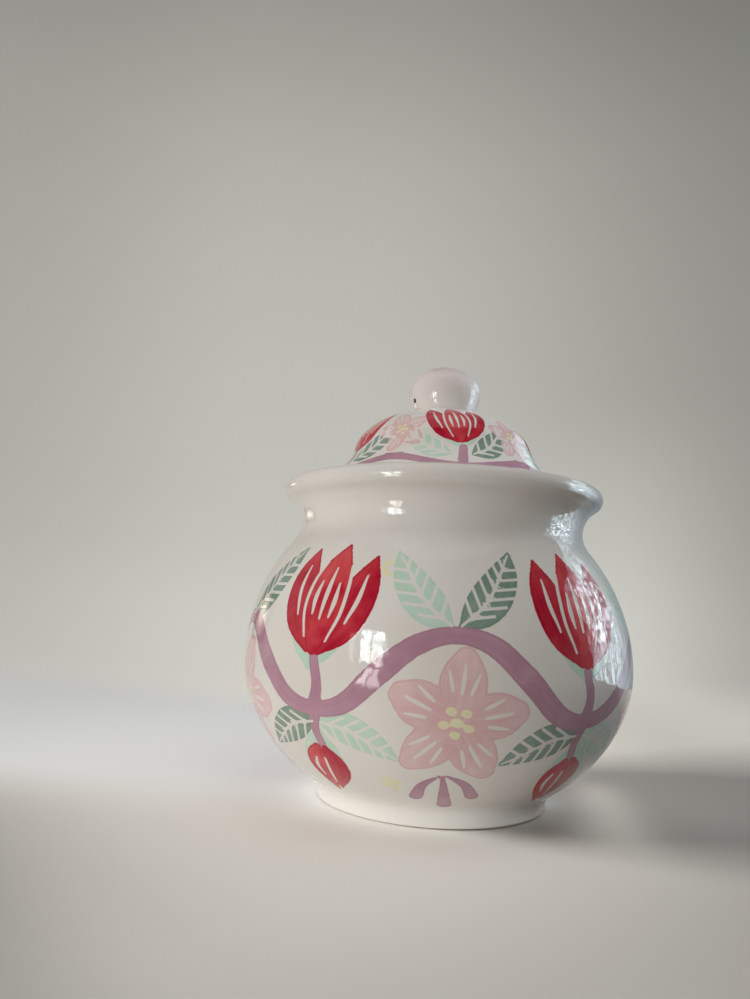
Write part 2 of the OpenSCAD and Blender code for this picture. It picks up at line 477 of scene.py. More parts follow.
def select_near(piece, spot, reach):
    """Goes into edit mode and selects the faces whose middle is near a spot."""
    deselect_all()
    bpy.context.view_layer.objects.active = piece
    piece.select_set(True)
    bpy.ops.object.mode_set(mode="EDIT")
    bpy.ops.mesh.select_mode(type="FACE")
    bpy.ops.mesh.select_all(action="DESELECT")
    bpy.ops.object.mode_set(mode="OBJECT")
    for face in piece.data.polygons:
        face.select = (face.center / MM - spot).length < reach
    bpy.ops.object.mode_set(mode="EDIT")


pit = max(knob.data.vertices, key=toward_pit).co / MM
select_near(knob, pit, 3 * PIT_R)
bpy.ops.mesh.subdivide(number_cuts=PIT_CUTS)
select_near(knob, pit, 0.3 * PIT_R)
bpy.ops.transform.translate(
    value=-PIT_WAY * PIT_DEPTH * MM,
    use_proportional_edit=True,
    proportional_edit_falloff="SMOOTH",
    proportional_size=PIT_R * MM,
)
bpy.ops.object.mode_set(mode="OBJECT")
print("pit at", [round(c, 1) for c in pit], "knob faces", len(knob.data.polygons))

# %% [markdown]
# ## Brush strokes
#
# A folk painter builds flowers from a few brush strokes: press, pull and lift. A stroke here is a path
# with a width at each point. An image texture could hold the painting, but it would need a file. So for
# every mesh point on the painted side, the script works out how far it is from the stroke's edge, how
# far across the stroke it lies, and how far the brush still has to go. Those three numbers are kept on
# the mesh as an attribute, one for each colour. The material later cuts the paint's edge out of the
# distance, and draws the bristle marks along the stroke.
#
# Pale lines are scratched through the paint. They are thinner than the mesh is fine. For them the
# attribute keeps the signed distance across, which stays exact between mesh points, and the half width.
# Lines that lie side by side run opposite ways, so that the sign is the same between them.

# %% Stroke paths
def smooth_path(points, pieces=6):
    """A smooth run of [x, y, width] through a few given ones, as a hand moves."""
    points = np.array(points, float)
    ends = np.vstack([2 * points[0] - points[1], points, 2 * points[-1] - points[-2]])
    path = []
    for before, start, end, after in zip(ends, ends[1:], ends[2:], ends[3:]):
        for u in np.arange(pieces) / pieces:
            bow = 2 * start + (end - before) * u + (2 * before - 5 * start + 4 * end - after) * u**2
            path.append((bow + (3 * start - before - 3 * end + after) * u**3) / 2)
    path.append(points[-1])
    path = np.array(path)
    path[:, 2] = np.maximum(path[:, 2], 0.1)
    return path


print("a stroke of three points becomes", len(smooth_path([(0, 0, 1), (1, 5, 3), (0, 9, 1)])), "points")

# %% Painted sheets
COLOURS = ("mint", "sage", "mauve", "pink", "yellow", "crimson", "red", "scratch")
NO_PAINT = 4.0


def paint_sheet(piece, side):
    """Unrolls a piece's painted side: angle, radius and distance up the outline of each mesh point."""
    places = np.empty(len(piece.data.vertices) * 3)
    piece.data.vertices.foreach_get("co", places)
    places = places.reshape(-1, 3) / MM
    radius = np.hypot(places[:, 0], places[:, 1])
    outline = np.array([(p.x, p.y) for p in side])
    climb = np.concatenate([[0], np.cumsum(np.linalg.norm(np.diff(outline, axis=0), axis=1))])
    on_side = abs(radius - np.interp(places[:, 2], outline[:, 1], outline[:, 0])) < 0.05
    on_side &= (places[:, 2] > outline[0, 1] - 0.01) & (places[:, 2] < outline[-1, 1] + 0.01)
    sheet = {"piece": piece, "points": np.flatnonzero(on_side), "strokes": 0}
    sheet["angle"] = np.arctan2(places[on_side, 0], -places[on_side, 1])
    sheet["radius"] = radius[on_side]
    sheet["climb"] = np.interp(places[on_side, 2], outline[:, 1], climb)
    sheet["length"] = climb[-1]
    sheet["paint"] = {}
    for colour in COLOURS:
        sheet["paint"][colour] = np.tile([0.0, 0.0, NO_PAINT], (len(places), 1))
    print(piece.name, "painted points", len(sheet["points"]), "side", round(sheet["length"], 1), "mm")
    return sheet


def dry(sheet):
    """Keeps the painted strokes on the mesh, one attribute for each colour."""
    mesh = sheet["piece"].data
    for colour in COLOURS:
        layer = mesh.attributes.new(colour, "FLOAT_VECTOR", "POINT")
        layer.data.foreach_set("vector", sheet["paint"][colour].ravel())
    print(sheet["piece"].name, "strokes", sheet["strokes"])


pot_sheet = paint_sheet(pot, painted_side)
lid_sheet = paint_sheet(lid, list(reversed(lid_side)))


# %% Measuring a stroke
def measure_stroke(path, x, y):
    """For points at x and y: way still to go, distance across, half width, and distance to the edge."""
    best = np.full(len(x), np.inf)
    to_go, across, half = np.zeros(len(x)), np.zeros(len(x)), np.zeros(len(x))
    left = np.linalg.norm(np.diff(path[:, :2], axis=0), axis=1).sum()
    for start, end in zip(path, path[1:]):
        run = end - start
        length = max(math.hypot(run[0], run[1]), 1e-6)
        dx, dy = x - start[0], y - start[1]
        share = np.clip((dx * run[0] + dy * run[1]) / length**2, 0, 1)
        off_x, off_y = dx - share * run[0], dy - share * run[1]
        half_here = (start[2] + share * run[2]) / 2
        edge = np.hypot(off_x, off_y) - half_here
        closer = edge < best
        best = np.where(closer, edge, best)
        to_go = np.where(closer, left - share * length, to_go)
        across = np.where(closer, (run[0] * off_y - run[1] * off_x) / length, across)
        half = np.where(closer, half_here, half)
        left -= length
    return to_go, across, half, best


straight = smooth_path([(0, 0, 1), (0, 10, 1)])
beside_it = measure_stroke(straight, np.array([2.0]), np.array([5.0]))[3]
print("2 mm from the middle of a stroke 1 mm wide, its edge is", round(beside_it[0], 2), "mm away")


# %% Laying strokes
def lay_stroke(sheet, colour, path, x, y, size):
    """Lays one stroke where it is nearer than the strokes of its colour that are there."""
    reach = path[:, 2].max() / 2 + NO_PAINT / size
    low, high = path[:, :2].min(axis=0) - reach, path[:, :2].max(axis=0) + reach
    near = np.flatnonzero((x > low[0]) & (x < high[0]) & (y > low[1]) & (y < high[1]))
    to_go, across, half, edge = measure_stroke(path, x[near], y[near])
    first, second = (across, half) if colour == "scratch" else (to_go, across)
    paint = sheet["paint"][colour]
    points = sheet["points"][near]
    wins = edge * size < paint[points, 2]
    paint[points[wins]] = size * np.column_stack([first, second, edge])[wins]
    sheet["strokes"] += 1


def lay_motif(sheet, motif, around, up, turn=0, size=1, mirror=1):
    """Paints a motif's strokes at an angle round the piece and a height up its side."""
    away = np.remainder(sheet["angle"] - math.radians(around) + math.pi, 2 * math.pi) - math.pi
    side, rise = away * sheet["radius"], sheet["climb"] - up
    x = mirror * (cosd(turn) * side + sind(turn) * rise) / size
    y = (cosd(turn) * rise - sind(turn) * side) / size
    for colour, stroke in motif:
        lay_stroke(sheet, colour, smooth_path(stroke), x, y, size)


print("brush colours", COLOURS)

# %% [markdown]
# ## The motifs
#
# The decoration is a garland of the common folk kind: tulips, small five-petalled flowers and leaves on
# a waving stem. Each motif is drawn once, in millimetres, with its stalk at the origin and pointing up.
# A tulip is three pressed petals, and a leaf is one long press with veins scratched into it.

# %% Tulip
def mirrored(stroke):
    """The same stroke on the other side of the stalk."""
    return [(-x, y, width) for x, y, width in stroke]


def backwards(stroke):
    """The same stroke, drawn from its other end."""
    return list(reversed(stroke))


def both_sides(colour, stroke):
    """A stroke and its mirror image."""
    return [(colour, stroke), (colour, mirrored(stroke))]


def tulip_motif():
    """A tulip of three pressed petals in a cup of small green leaves."""
    outer_petal = [(-1.5, 1.5, 2.5), (-6.2, 7.5, 7.4), (-7.6, 14.5, 7.6), (-7.8, 22.5, 0.8)]
    strokes = both_sides("crimson", outer_petal)
    strokes += [("red", [(0, 1.5, 3), (0, 9, 9.4), (0, 16, 8.6), (0, 24.5, 0.8)])]
    strokes += both_sides("scratch", [(-2.2, 8.2, 0.5), (-2.5, 11.5, 1.1), (-2.2, 15.2, 0.4)])
    strokes += [("scratch", [(0, 18.5, 0.4), (0, 13, 1.1), (0, 7.5, 0.5)])]
    strokes += both_sides("scratch", [(-6.4, 7.5, 0.5), (-7.7, 12.5, 1.0), (-7.7, 18, 0.4)])
    gap = [(-2.9, 3.4, 0.5), (-4.7, 9, 0.8), (-4.5, 15, 0.8), (-3.3, 19.5, 0.6)]
    strokes += both_sides("scratch", backwards(gap))
    strokes += both_sides("mint", [(0, -1, 2.6), (-3, 1.2, 3.4), (-6.8, 3.6, 0.6)])
    return strokes + [("mint", [(0, -1.5, 3), (0, 2, 3.4), (0, 5.5, 0.6)])]


print("strokes in a tulip", len(tulip_motif()))


# %% Flower and bud
def spoke(turn, reaches, widths):
    """A straight stroke from the middle of a flower, or towards it."""
    return [(reach * cosd(turn), reach * sind(turn), width) for reach, width in zip(reaches, widths)]


def rosette_motif():
    """A flower of five short petals with pale streaks and a dotted middle."""
    strokes = []
    for petal in range(5):
        turn = 90 + 72 * petal
        for colour, swing, reaches, widths in (
            ("pink", 0, (2.0, 6.4, 10.8), (2.6, 8.4, 4.6)),
            ("scratch", 0, (9.8, 7.4, 5.2), (0.5, 0.8, 0.5)),
            ("scratch", 17, (5.6, 7.2, 9.0), (0.5, 0.7, 0.4)),
            ("scratch", -17, (5.6, 7.2, 9.0), (0.5, 0.7, 0.4)),
        ):
            strokes.append((colour, spoke(turn + swing, reaches, widths)))
        dot = Vector((cosd(turn + 36), sind(turn + 36))) * 2.3
        strokes.append(("yellow", [(dot.x - 0.2, dot.y, 1.5), (dot.x + 0.2, dot.y, 1.5)]))
    strokes.append(("yellow", [(-0.3, 0, 1.7), (0.3, 0, 1.7)]))
    return strokes


def bud_motif():
    """A closed bud in a green cup, with two pale strokes."""
    strokes = [("crimson", [(-1, 2, 2), (-2.2, 6.5, 5.6), (-0.6, 13.5, 0.6)])]
    strokes += [("red", [(1, 2, 2), (1.9, 6.5, 5.6), (0.4, 14.5, 0.6)])]
    strokes += [("scratch", [(-0.1, 4.6, 0.5), (-0.1, 8, 0.7), (-0.2, 11.5, 0.4)])]
    strokes += [("scratch", [(1.9, 9.8, 0.4), (2.7, 7.2, 0.9), (2.2, 5, 0.5)])]
    strokes += both_sides("mint", [(0, -1, 2.2), (-2.2, 1.2, 2.8), (-4.6, 4.4, 0.5)])
    return strokes + [("mint", [(0, -1.5, 2.6), (0, 1.4, 2.8), (0, 4, 0.5)])]


print("strokes in a flower", len(rosette_motif()), "in a bud", len(bud_motif()))


# %% Leaves and fillers
def leaf_motif(colour, length=24, width=9.6, veins=6):
    """A pressed leaf with a pale midrib and side veins."""
    bow = 0.09 * length
    spine = [(0, 0, 1.2), (bow, 0.33 * length, width), (bow, 0.66 * length, 0.84 * width), (0, length, 0.5)]
    midrib = [(0, 0.02 * length, 0.6), (bow, 0.4 * length, 0.85), (0.1 * bow, 0.95 * length, 0.5)]
    strokes = [(colour, spine), ("scratch", midrib)]
    for vein in range(veins):
        share = 0.16 + 0.62 * vein / (veins - 1)
        middle = 4 * bow * share * (1 - share)
        half = 0.58 * width * (1 - abs(share - 0.45))
        for side in (-1, 1):
            start = (middle, share * length - 0.5, 0.7)
            end = (middle + side * half, share * length + 0.7 * half, 0.75)
            strokes.append(("scratch", [start, end] if vein % 2 else [end, start]))
    return strokes


def sprig_motif():
    """Three comma strokes that fan out from one point."""
    comma = [(0.8, 0, 0.6), (4.6, 3.2, 2.2), (6.2, 7.6, 3.2)]
    return both_sides("mauve", comma) + [("mauve", [(0, 0, 0.8), (0, 5.5, 2.2), (0, 11.5, 3.4)])]


def dab_motif():
    """A faint star of four short dabs."""
    strokes = []
    for turn in (45, 135, 225, 315):
        strokes.append(("yellow", spoke(turn, (0.6, 2), (0.8, 1.6))))
    return strokes


print("strokes in a leaf", len(leaf_motif("sage")), "in a sprig", len(sprig_motif()))

# %% [markdown]
# ## Painting the pot and the lid
#
# The garland repeats five times round the pot. A stem waves along the belly, with a tulip above each
# trough and a flower below each crest, and leaves, buds and sprigs fill the space between. No two
# repeats of a hand-painted border are the same, so every place, turn and size is shaken a little, from
# a fixed seed.

# %% Paint the pot
REPEATS = 5
STEM_HEIGHT = 40
STEM_SWING = 10
FIRST_CREST = -13
HAND_SEED = 7
hand = random.Random(HAND_SEED)


def shaky(value, shake):
    """A value as the hand gets it, a little off."""
    return value + hand.uniform(-shake, shake)


step = 360 / REPEATS
width = math.radians(step) * belly_r
stalk = [("mauve", [(0, 0, 3.6), (1.2, 5, 3.0), (0, 11, 2.8)])]
hanger = [("mauve", [(0, 0, 3.2), (0.8, 4, 2.6), (0, 8, 2.4)])]
for repeat in range(REPEATS):
    middle = repeat * step + FIRST_CREST
    low, high = middle - 0.25 * step, middle + 0.25 * step
    stem = []
    for point in range(-4, 5):
        phase = point / 8
        height = STEM_HEIGHT + STEM_SWING * math.sin(2 * math.pi * phase) + shaky(0, 0.8) * (abs(point) < 4)
        stem.append((phase * width, height, 4.7 + 0.8 * math.cos(4 * math.pi * phase)))
    lay_motif(pot_sheet, [("mauve", stem)], middle, 0)
    lay_motif(pot_sheet, stalk, low, 31, shaky(0, 6))
    lay_motif(pot_sheet, tulip_motif(), shaky(low, 1), 42.5, shaky(0, 8), shaky(1.18, 0.05))
    lay_motif(pot_sheet, leaf_motif("sage"), high + 1, 51, shaky(-36, 7), shaky(1.02, 0.06))
    lay_motif(pot_sheet, leaf_motif("mint", 22, 9, 5), high - 1, 51, shaky(38, 7), shaky(1, 0.06), -1)
    lay_motif(pot_sheet, rosette_motif(), shaky(high, 1), shaky(30, 1), shaky(0, 30), shaky(1.24, 0.05))
    lay_motif(pot_sheet, sprig_motif(), shaky(high, 1.5), 15.5, 180 + shaky(0, 8), 1.05)
    lay_motif(pot_sheet, hanger, low, 29, 180)
    lay_motif(pot_sheet, bud_motif(), shaky(low, 1), 22, 180 + shaky(0, 9), shaky(1.32, 0.06))
    lay_motif(pot_sheet, leaf_motif("sage", 21, 9, 5), low - 1, 27, 180 - shaky(64, 5), 0.97)
    lay_motif(pot_sheet, leaf_motif("mint", 21, 8.6, 5), low + 1, 27, 180 + shaky(64, 5), 0.97, -1)
    lay_motif(pot_sheet, dab_motif(), shaky(middle - 1, 2), shaky(64, 2), shaky(0, 30), 1.1)
    lay_motif(pot_sheet, dab_motif(), shaky(middle + 2, 2), shaky(11, 2), shaky(0, 30), 1)
dry(pot_sheet)

# %% Paint the lid
LID_STEM_R = 33
LID_STEM_HEIGHT = 8
LID_STEM_SWING = 2.2
FIRST_LID_TULIP = 10
lid_stalk = [("mauve", [(0, 0, 2.8), (0.6, 5, 2.2)])]
for repeat in range(REPEATS):
    middle = repeat * step + FIRST_LID_TULIP
    lay_motif(lid_sheet, tulip_motif(), shaky(middle, 1), shaky(14, 1), shaky(0, 8), 0.72)
    lay_motif(lid_sheet, lid_stalk, middle, 8.5)
    lay_motif(lid_sheet, leaf_motif("sage", 15, 7, 4), middle + 6, 11, shaky(-48, 6))
    lay_motif(lid_sheet, leaf_motif("mint", 14, 6.4, 4), middle - 6, 11, shaky(50, 6), 1, -1)
    lay_motif(lid_sheet, rosette_motif(), shaky(middle + 0.5 * step, 1), shaky(20, 1), shaky(0, 30), 0.6)
    stem = []
    for point in range(-4, 5):
        phase = point / 8
        height = LID_STEM_HEIGHT - LID_STEM_SWING * math.cos(2 * math.pi * phase)
        stem.append((phase * math.radians(step) * LID_STEM_R, height, 2.9))
    lay_motif(lid_sheet, [("mauve", stem)], middle, 0)
dry(lid_sheet)

# %% [markdown]
# ## The unevenness of hand work
#
# A spun mesh is rounder than any pot. A Displace modifier with a slow cloud texture pushes the outside
# in and out by a fifth of a millimetre, which is little to see in the outline and plenty in the gloss.
# It fades to nothing at the foot, under the lip and round the knob, where pieces meet. This comes after
# the painting, because the paint finds its mesh points by the exact outline.

# %% Unevenness
SWELL = 0.8
SWELL_SIZE = 0.034


def uneven(sheet, low_end, high_end):
    """Displaces a painted side. Low end and high end are the lengths over which that fades out."""
    piece = sheet["piece"]
    group = piece.vertex_groups.new(name="swell")
    rise = np.clip(sheet["climb"] / low_end, 0, 1)
    fall = np.clip((sheet["length"] - sheet["climb"]) / high_end - 0.1, 0, 1)
    for point, share in zip(sheet["points"].tolist(), (rise * fall).tolist()):
        group.add([point], share, "REPLACE")
    clouds = bpy.data.textures.new(piece.name + "_clouds", "CLOUDS")
    clouds.noise_scale = SWELL_SIZE
    deselect_all()
    bpy.context.view_layer.objects.active = piece
    piece.select_set(True)
    bpy.ops.object.modifier_add(type="DISPLACE")
    displace = piece.modifiers[-1]
    displace.texture = clouds
    displace.texture_coords = "LOCAL"
    displace.strength = SWELL * MM
    displace.mid_level = 0.5
    displace.vertex_group = group.name
    bpy.ops.object.modifier_apply(modifier=displace.name)
    print(piece.name, "swells by up to", round(SWELL / 4, 2), "mm")


uneven(pot_sheet, 10, 8)
uneven(lid_sheet, 8, 18)

# %% [markdown]
# ## The glaze
#
# Clear glaze over white clay is one shader: a diffuse colour under a smooth coat of glass. Its gloss is
# not perfect. The coat lies in slow waves and fine ripples, which break up the mirror images of the
# windows. Both come from noise in the Normal. The white is not even either: it has warm and cool
# patches, and a few specks of iron. Near the foot the coat is thin and lies calm.
#
# Node trees are long to write out by hand, so a few helpers add a node, set it and give back its result.

# %% Helpers for nodes
def add_node(tree, kind, inputs=None, **settings):
    """Adds a shader node, sets its options, and links or sets its inputs."""
    node = tree.nodes.new(kind)
    for option, value in settings.items():
        setattr(node, option, value)
    for socket, value in (inputs or {}).items():
        if isinstance(value, bpy.types.NodeSocket):
            tree.links.new(value, node.inputs[socket])
        else:
            node.inputs[socket].default_value = value
    return node


def calculate(tree, operation, first, second=0.0, third=0.0):
    """Adds a Math node and gives its result."""
    inputs = {0: first, 1: second, 2: third}
    return add_node(tree, "ShaderNodeMath", inputs, operation=operation).outputs[0]


def product(tree, *factors):
    """Multiplies two or more values."""
    result = factors[0]
    for factor in factors[1:]:
        result = calculate(tree, "MULTIPLY", result, factor)
    return result


def rest_of(tree, share):
    """What a share leaves of one."""
    return calculate(tree, "SUBTRACT", 1.0, share)


def hypotenuse(tree, first, second):
    """The distance that two lengths at a right angle make."""
    squared = product(tree, second, second)
    return calculate(tree, "SQRT", calculate(tree, "MULTIPLY_ADD", first, first, squared))


print("helpers for numbers:", calculate.__name__, product.__name__, rest_of.__name__, hypotenuse.__name__)


# %% Helpers for materials
def distance(tree, place, spot):
    """How far each point is from a spot."""
    return add_node(tree, "ShaderNodeVectorMath", {0: place, 1: spot}, operation="DISTANCE").outputs["Value"]


def ramp(tree, value, low, high, out_low=0.0, out_high=1.0):
    """Maps a value smoothly from one range to another, and keeps it there."""
    inputs = {"Value": value, "From Min": low, "From Max": high, "To Min": out_low, "To Max": out_high}
    return add_node(tree, "ShaderNodeMapRange", inputs, interpolation_type="SMOOTHSTEP").outputs["Result"]


def mix(tree, share, first, second):
    """Mixes two colours."""
    return add_node(tree, "ShaderNodeMix", {0: share, 6: first, 7: second}, data_type="RGBA").outputs[2]


def noise(tree, vector, scale, detail=2.0, roughness=0.5):
    """Adds a Noise node and gives its value."""
    inputs = {"Vector": vector, "Scale": scale, "Detail": detail, "Roughness": roughness}
    return add_node(tree, "ShaderNodeTexNoise", inputs).outputs["Fac"]


def axes(tree, vector):
    """The three parts of a vector."""
    return add_node(tree, "ShaderNodeSeparateXYZ", {0: vector}).outputs


def new_finish(name):
    """A material with a Principled shader, and the place of each point on its piece."""
    material = bpy.data.materials.new(name)
    material.use_nodes = True
    tree = material.node_tree
    place = add_node(tree, "ShaderNodeTexCoord").outputs["Object"]
    return material, tree, tree.nodes["Principled BSDF"], place


print("helpers for materials:", ramp.__name__, mix.__name__, noise.__name__, new_finish.__name__)

# %% Glazed clay
WHITE_CLAY = (0.78, 0.75, 0.715, 1)
WARM_PATCH = (0.75, 0.705, 0.655, 1)
IRON_SPECK = (0.30, 0.20, 0.13, 1)
BARE_CLAY = (0.66, 0.46, 0.32, 1)
GLASS_IOR = 1.52
WAVE_DEPTH = 0.00014


def glazed_white(tree, place, white=WHITE_CLAY, warm=WARM_PATCH):
    """The colour of glazed white clay: warm patches, and a few iron specks."""
    patches = ramp(tree, noise(tree, place, 38, 3), 0.35, 0.75)
    colour = mix(tree, patches, white, warm)
    cells = add_node(tree, "ShaderNodeTexVoronoi", {"Vector": place, "Scale": 140})
    chosen = calculate(tree, "GREATER_THAN", cells.outputs["Color"], 0.93)
    size = ramp(tree, cells.outputs["Distance"], 0.05, 0.025)
    return mix(tree, product(tree, size, chosen, 0.55), colour, IRON_SPECK)


def glaze_coat(tree, shader, place, waves=1.0, film=0.0, bare=0.0, calm=0.0):
    """Gloss of a glaze, with waves in its normal. Film is paint under it. Bare takes off the gloss, and
    calm the waves."""
    slow = noise(tree, place, 120, 2)
    fine = noise(tree, place, 480, 2)
    height = calculate(tree, "MULTIPLY_ADD", fine, 0.16, slow)
    height = calculate(tree, "MULTIPLY_ADD", film, 0.14, height)
    height = product(tree, height, rest_of(tree, calm))
    bump_inputs = {"Height": height, "Strength": 1.0, "Distance": WAVE_DEPTH * waves}
    tree.links.new(add_node(tree, "ShaderNodeBump", bump_inputs).outputs["Normal"], shader.inputs["Normal"])
    dull = ramp(tree, noise(tree, place, 160, 3), 0.3, 0.8, 0.03, 0.07)
    dull = calculate(tree, "MULTIPLY_ADD", film, 0.02, dull)
    dull = calculate(tree, "MULTIPLY_ADD", bare, 0.7, dull)
    tree.links.new(dull, shader.inputs["Roughness"])
    shader.inputs["IOR"].default_value = GLASS_IOR


print("white clay", WHITE_CLAY[:3], "bare clay", BARE_CLAY[:3])

# %% [markdown]
# ## The paint
#
# Underglaze colours are mixed with water and lie flat and opaque, a little blotchy, and thinner where
# the brush lifts. So each colour is a pair, deep and thin, and bristle noise, blotches and the way to
# the stroke's end choose between them. The colours are laid in a painter's order, greens and stems
# first and the reds over them. Last, the scratched lines take the paint off again, down to the white.
# The seat is bare clay. Towards the foot the white is painted paler, as painted light from the table.
# Low on the right a small orange spot with a rougher gloss sits in a pinkish-brown patch, which is a
# painted warm reflection.

# %% Paint colours
PAINTS = {
    "mint": ((0.50, 0.68, 0.56, 1), (0.64, 0.77, 0.67, 1), 0.90, 0.25),
    "sage": ((0.18, 0.275, 0.225, 1), (0.31, 0.40, 0.345, 1), 0.96, 0.25),
    "mauve": ((0.43, 0.225, 0.305, 1), (0.54, 0.32, 0.40, 1), 0.96, 0.25),
    "pink": ((0.70, 0.43, 0.44, 1), (0.80, 0.61, 0.61, 1), 0.92, 0.25),
    "yellow": ((0.80, 0.76, 0.46, 1), (0.80, 0.77, 0.58, 1), 0.75, 0.0),
    "crimson": ((0.42, 0.002, 0.026, 1), (0.63, 0.045, 0.065, 1), 0.985, 0.55),
    "red": ((0.47, 0.003, 0.030, 1), (0.70, 0.080, 0.088, 1), 0.98, 0.60),
}
PAINT_EDGE = 0.12
RIM = 0.6
LINE_EDGE = 0.10
LINE_REACH = 0.2
LIFT_OFF = 6.0


def brushed(tree, place, ground):
    """Lays the strokes of every colour over the ground colour. Gives the colour and the paint's film."""
    ragged = calculate(tree, "SUBTRACT", noise(tree, place, 700, 2), 0.5)
    blotches = ramp(tree, noise(tree, place, 240, 2), 0.35, 0.7)
    washes = ramp(tree, noise(tree, place, 85, 3, 0.55), 0.42, 0.66)
    colour, film = ground, 0.0
    for number, (paint, (deep, thin, cover, wash)) in enumerate(PAINTS.items()):
        stroke = add_node(tree, "ShaderNodeAttribute", attribute_name=paint).outputs["Vector"]
        to_go, across, edge = axes(tree, stroke)
        bristle_inputs = {0: product(tree, to_go, 0.07), 1: across, 2: 3.7 * number}
        bristle = add_node(tree, "ShaderNodeCombineXYZ", bristle_inputs).outputs[0]
        streaks = ramp(tree, noise(tree, bristle, 1.0, 3, 0.6), 0.35, 0.75)
        lifted = ramp(tree, to_go, LIFT_OFF, 0)
        thinness = calculate(tree, "MULTIPLY_ADD", streaks, 0.30, product(tree, blotches, 0.20))
        thinness = calculate(tree, "MULTIPLY_ADD", lifted, 0.35, thinness)
        thinness = calculate(tree, "MULTIPLY_ADD", washes, wash, thinness)
        thinness = product(tree, thinness, ramp(tree, edge, -RIM, -0.5 * RIM, 1.0, 0.25))
        inside = ramp(tree, calculate(tree, "MULTIPLY_ADD", ragged, 0.30, edge), PAINT_EDGE, -PAINT_EDGE)
        laid = product(tree, inside, calculate(tree, "MULTIPLY_ADD", thinness, cover - 1, 1.0))
        colour = mix(tree, laid, colour, mix(tree, thinness, deep, thin))
        film = calculate(tree, "MAXIMUM", film, laid)
    return colour, film


def scratched(tree, colour, film, ground):
    """Scratches the pale lines through the paint, down to the ground colour."""
    lines = add_node(tree, "ShaderNodeAttribute", attribute_name="scratch").outputs["Vector"]
    across, half, edge = axes(tree, lines)
    beside = calculate(tree, "SUBTRACT", calculate(tree, "ABSOLUTE", across), half)
    off_line = calculate(tree, "MAXIMUM", beside, calculate(tree, "SUBTRACT", edge, LINE_REACH))
    line = ramp(tree, off_line, LINE_EDGE, -LINE_EDGE, 0.0, 0.95)
    film = product(tree, film, rest_of(tree, line))
    return mix(tree, line, colour, ground), film


print("paints", sorted(PAINTS))

# %% Painted glaze
FOOT_PAINTED_LIGHT = (0.90, 0.885, 0.85, 1)
SEAT_BARE_R = 40.5
ORANGE_SPOT_CENTRE = Vector((30.4, -14.0, 4.6))
SPOT_SHAKE = 2.4
PAINTED_WARM_REFLECTION = (0.50, 0.35, 0.31, 1)
ORANGE_SPOT = (0.62, 0.29, 0.12, 1)
painted, tree, shader, place = new_finish("painted_glaze")
x, y, z = axes(tree, place)
radius = hypotenuse(tree, x, y)
# Painted light: towards the foot the white is painted paler, in place of the light that the table throws up
# onto the foot.
painted_light_near_foot = ramp(tree, z, 9 * MM, 4 * MM)
ground = mix(tree, painted_light_near_foot, glazed_white(tree, place), FOOT_PAINTED_LIGHT)
colour, film = brushed(tree, place, ground)
colour, film = scratched(tree, colour, film, ground)
off_seat = calculate(tree, "ABSOLUTE", calculate(tree, "SUBTRACT", z, seat_z * MM))
at_seat = ramp(tree, off_seat, 0.5 * MM, 0.3 * MM)
at_seat = product(tree, at_seat, ramp(tree, radius, (SEAT_BARE_R + 0.3) * MM, SEAT_BARE_R * MM))
# Painted reflection: a pinkish-brown patch low on the right stands in for warm light reflected there. In its
# middle sits a small orange spot with a rougher gloss.
from_spot = distance(tree, place, ORANGE_SPOT_CENTRE * MM)
from_spot = calculate(tree, "MULTIPLY_ADD", noise(tree, place, 420, 3), SPOT_SHAKE * MM, from_spot)
colour = mix(tree, ramp(tree, from_spot, 16 * MM, 4 * MM, 0.0, 0.55), colour, PAINTED_WARM_REFLECTION)
in_orange_spot = ramp(tree, from_spot, 3.4 * MM, 2.6 * MM)
colour = mix(tree, in_orange_spot, colour, ORANGE_SPOT)
tree.links.new(mix(tree, at_seat, colour, BARE_CLAY), shader.inputs["Base Color"])
bare = calculate(tree, "MAXIMUM", at_seat, product(tree, in_orange_spot, 0.5))
glaze_coat(tree, shader, place, 1.0, film, bare, ramp(tree, z, 10 * MM, 5 * MM))
pot.data.materials.append(painted)
lid.data.materials.append(painted)
print("painted glaze nodes", len(tree.nodes))

# %% [markdown]
# ## The plain glaze
#
# The ring under the lid has the same white glaze without paint. The foot ring has it inside its well and
# is bare where it stands. On the knob, a wash of pink has run in the glaze and turns mauve at the top,
# and the inside of the pit is coloured near black.

# %% Plain glaze
plain, tree, shader, place = new_finish("plain_glaze")
tree.links.new(glazed_white(tree, place), shader.inputs["Base Color"])
glaze_coat(tree, shader, place)
ring.data.materials.append(plain)
print("plain glaze nodes", len(tree.nodes))

# %% Foot glaze
DARK_GRAIN = (0.52, 0.35, 0.24, 1)
footed, tree, shader, place = new_finish("foot_glaze")
ragged_z = calculate(tree, "MULTIPLY_ADD", noise(tree, place, 220), 0.5 * MM, axes(tree, place)["Z"])
wiped = ramp(tree, ragged_z, 0.75 * MM, 0.6 * MM)
grain = ramp(tree, noise(tree, place, 900, 3), 0.3, 0.7)
clay = mix(tree, grain, BARE_CLAY, DARK_GRAIN)
tree.links.new(mix(tree, wiped, glazed_white(tree, place), clay), shader.inputs["Base Color"])
glaze_coat(tree, shader, place, 1.0, 0.0, wiped)
foot.data.materials.append(footed)
print("foot glaze nodes", len(tree.nodes))

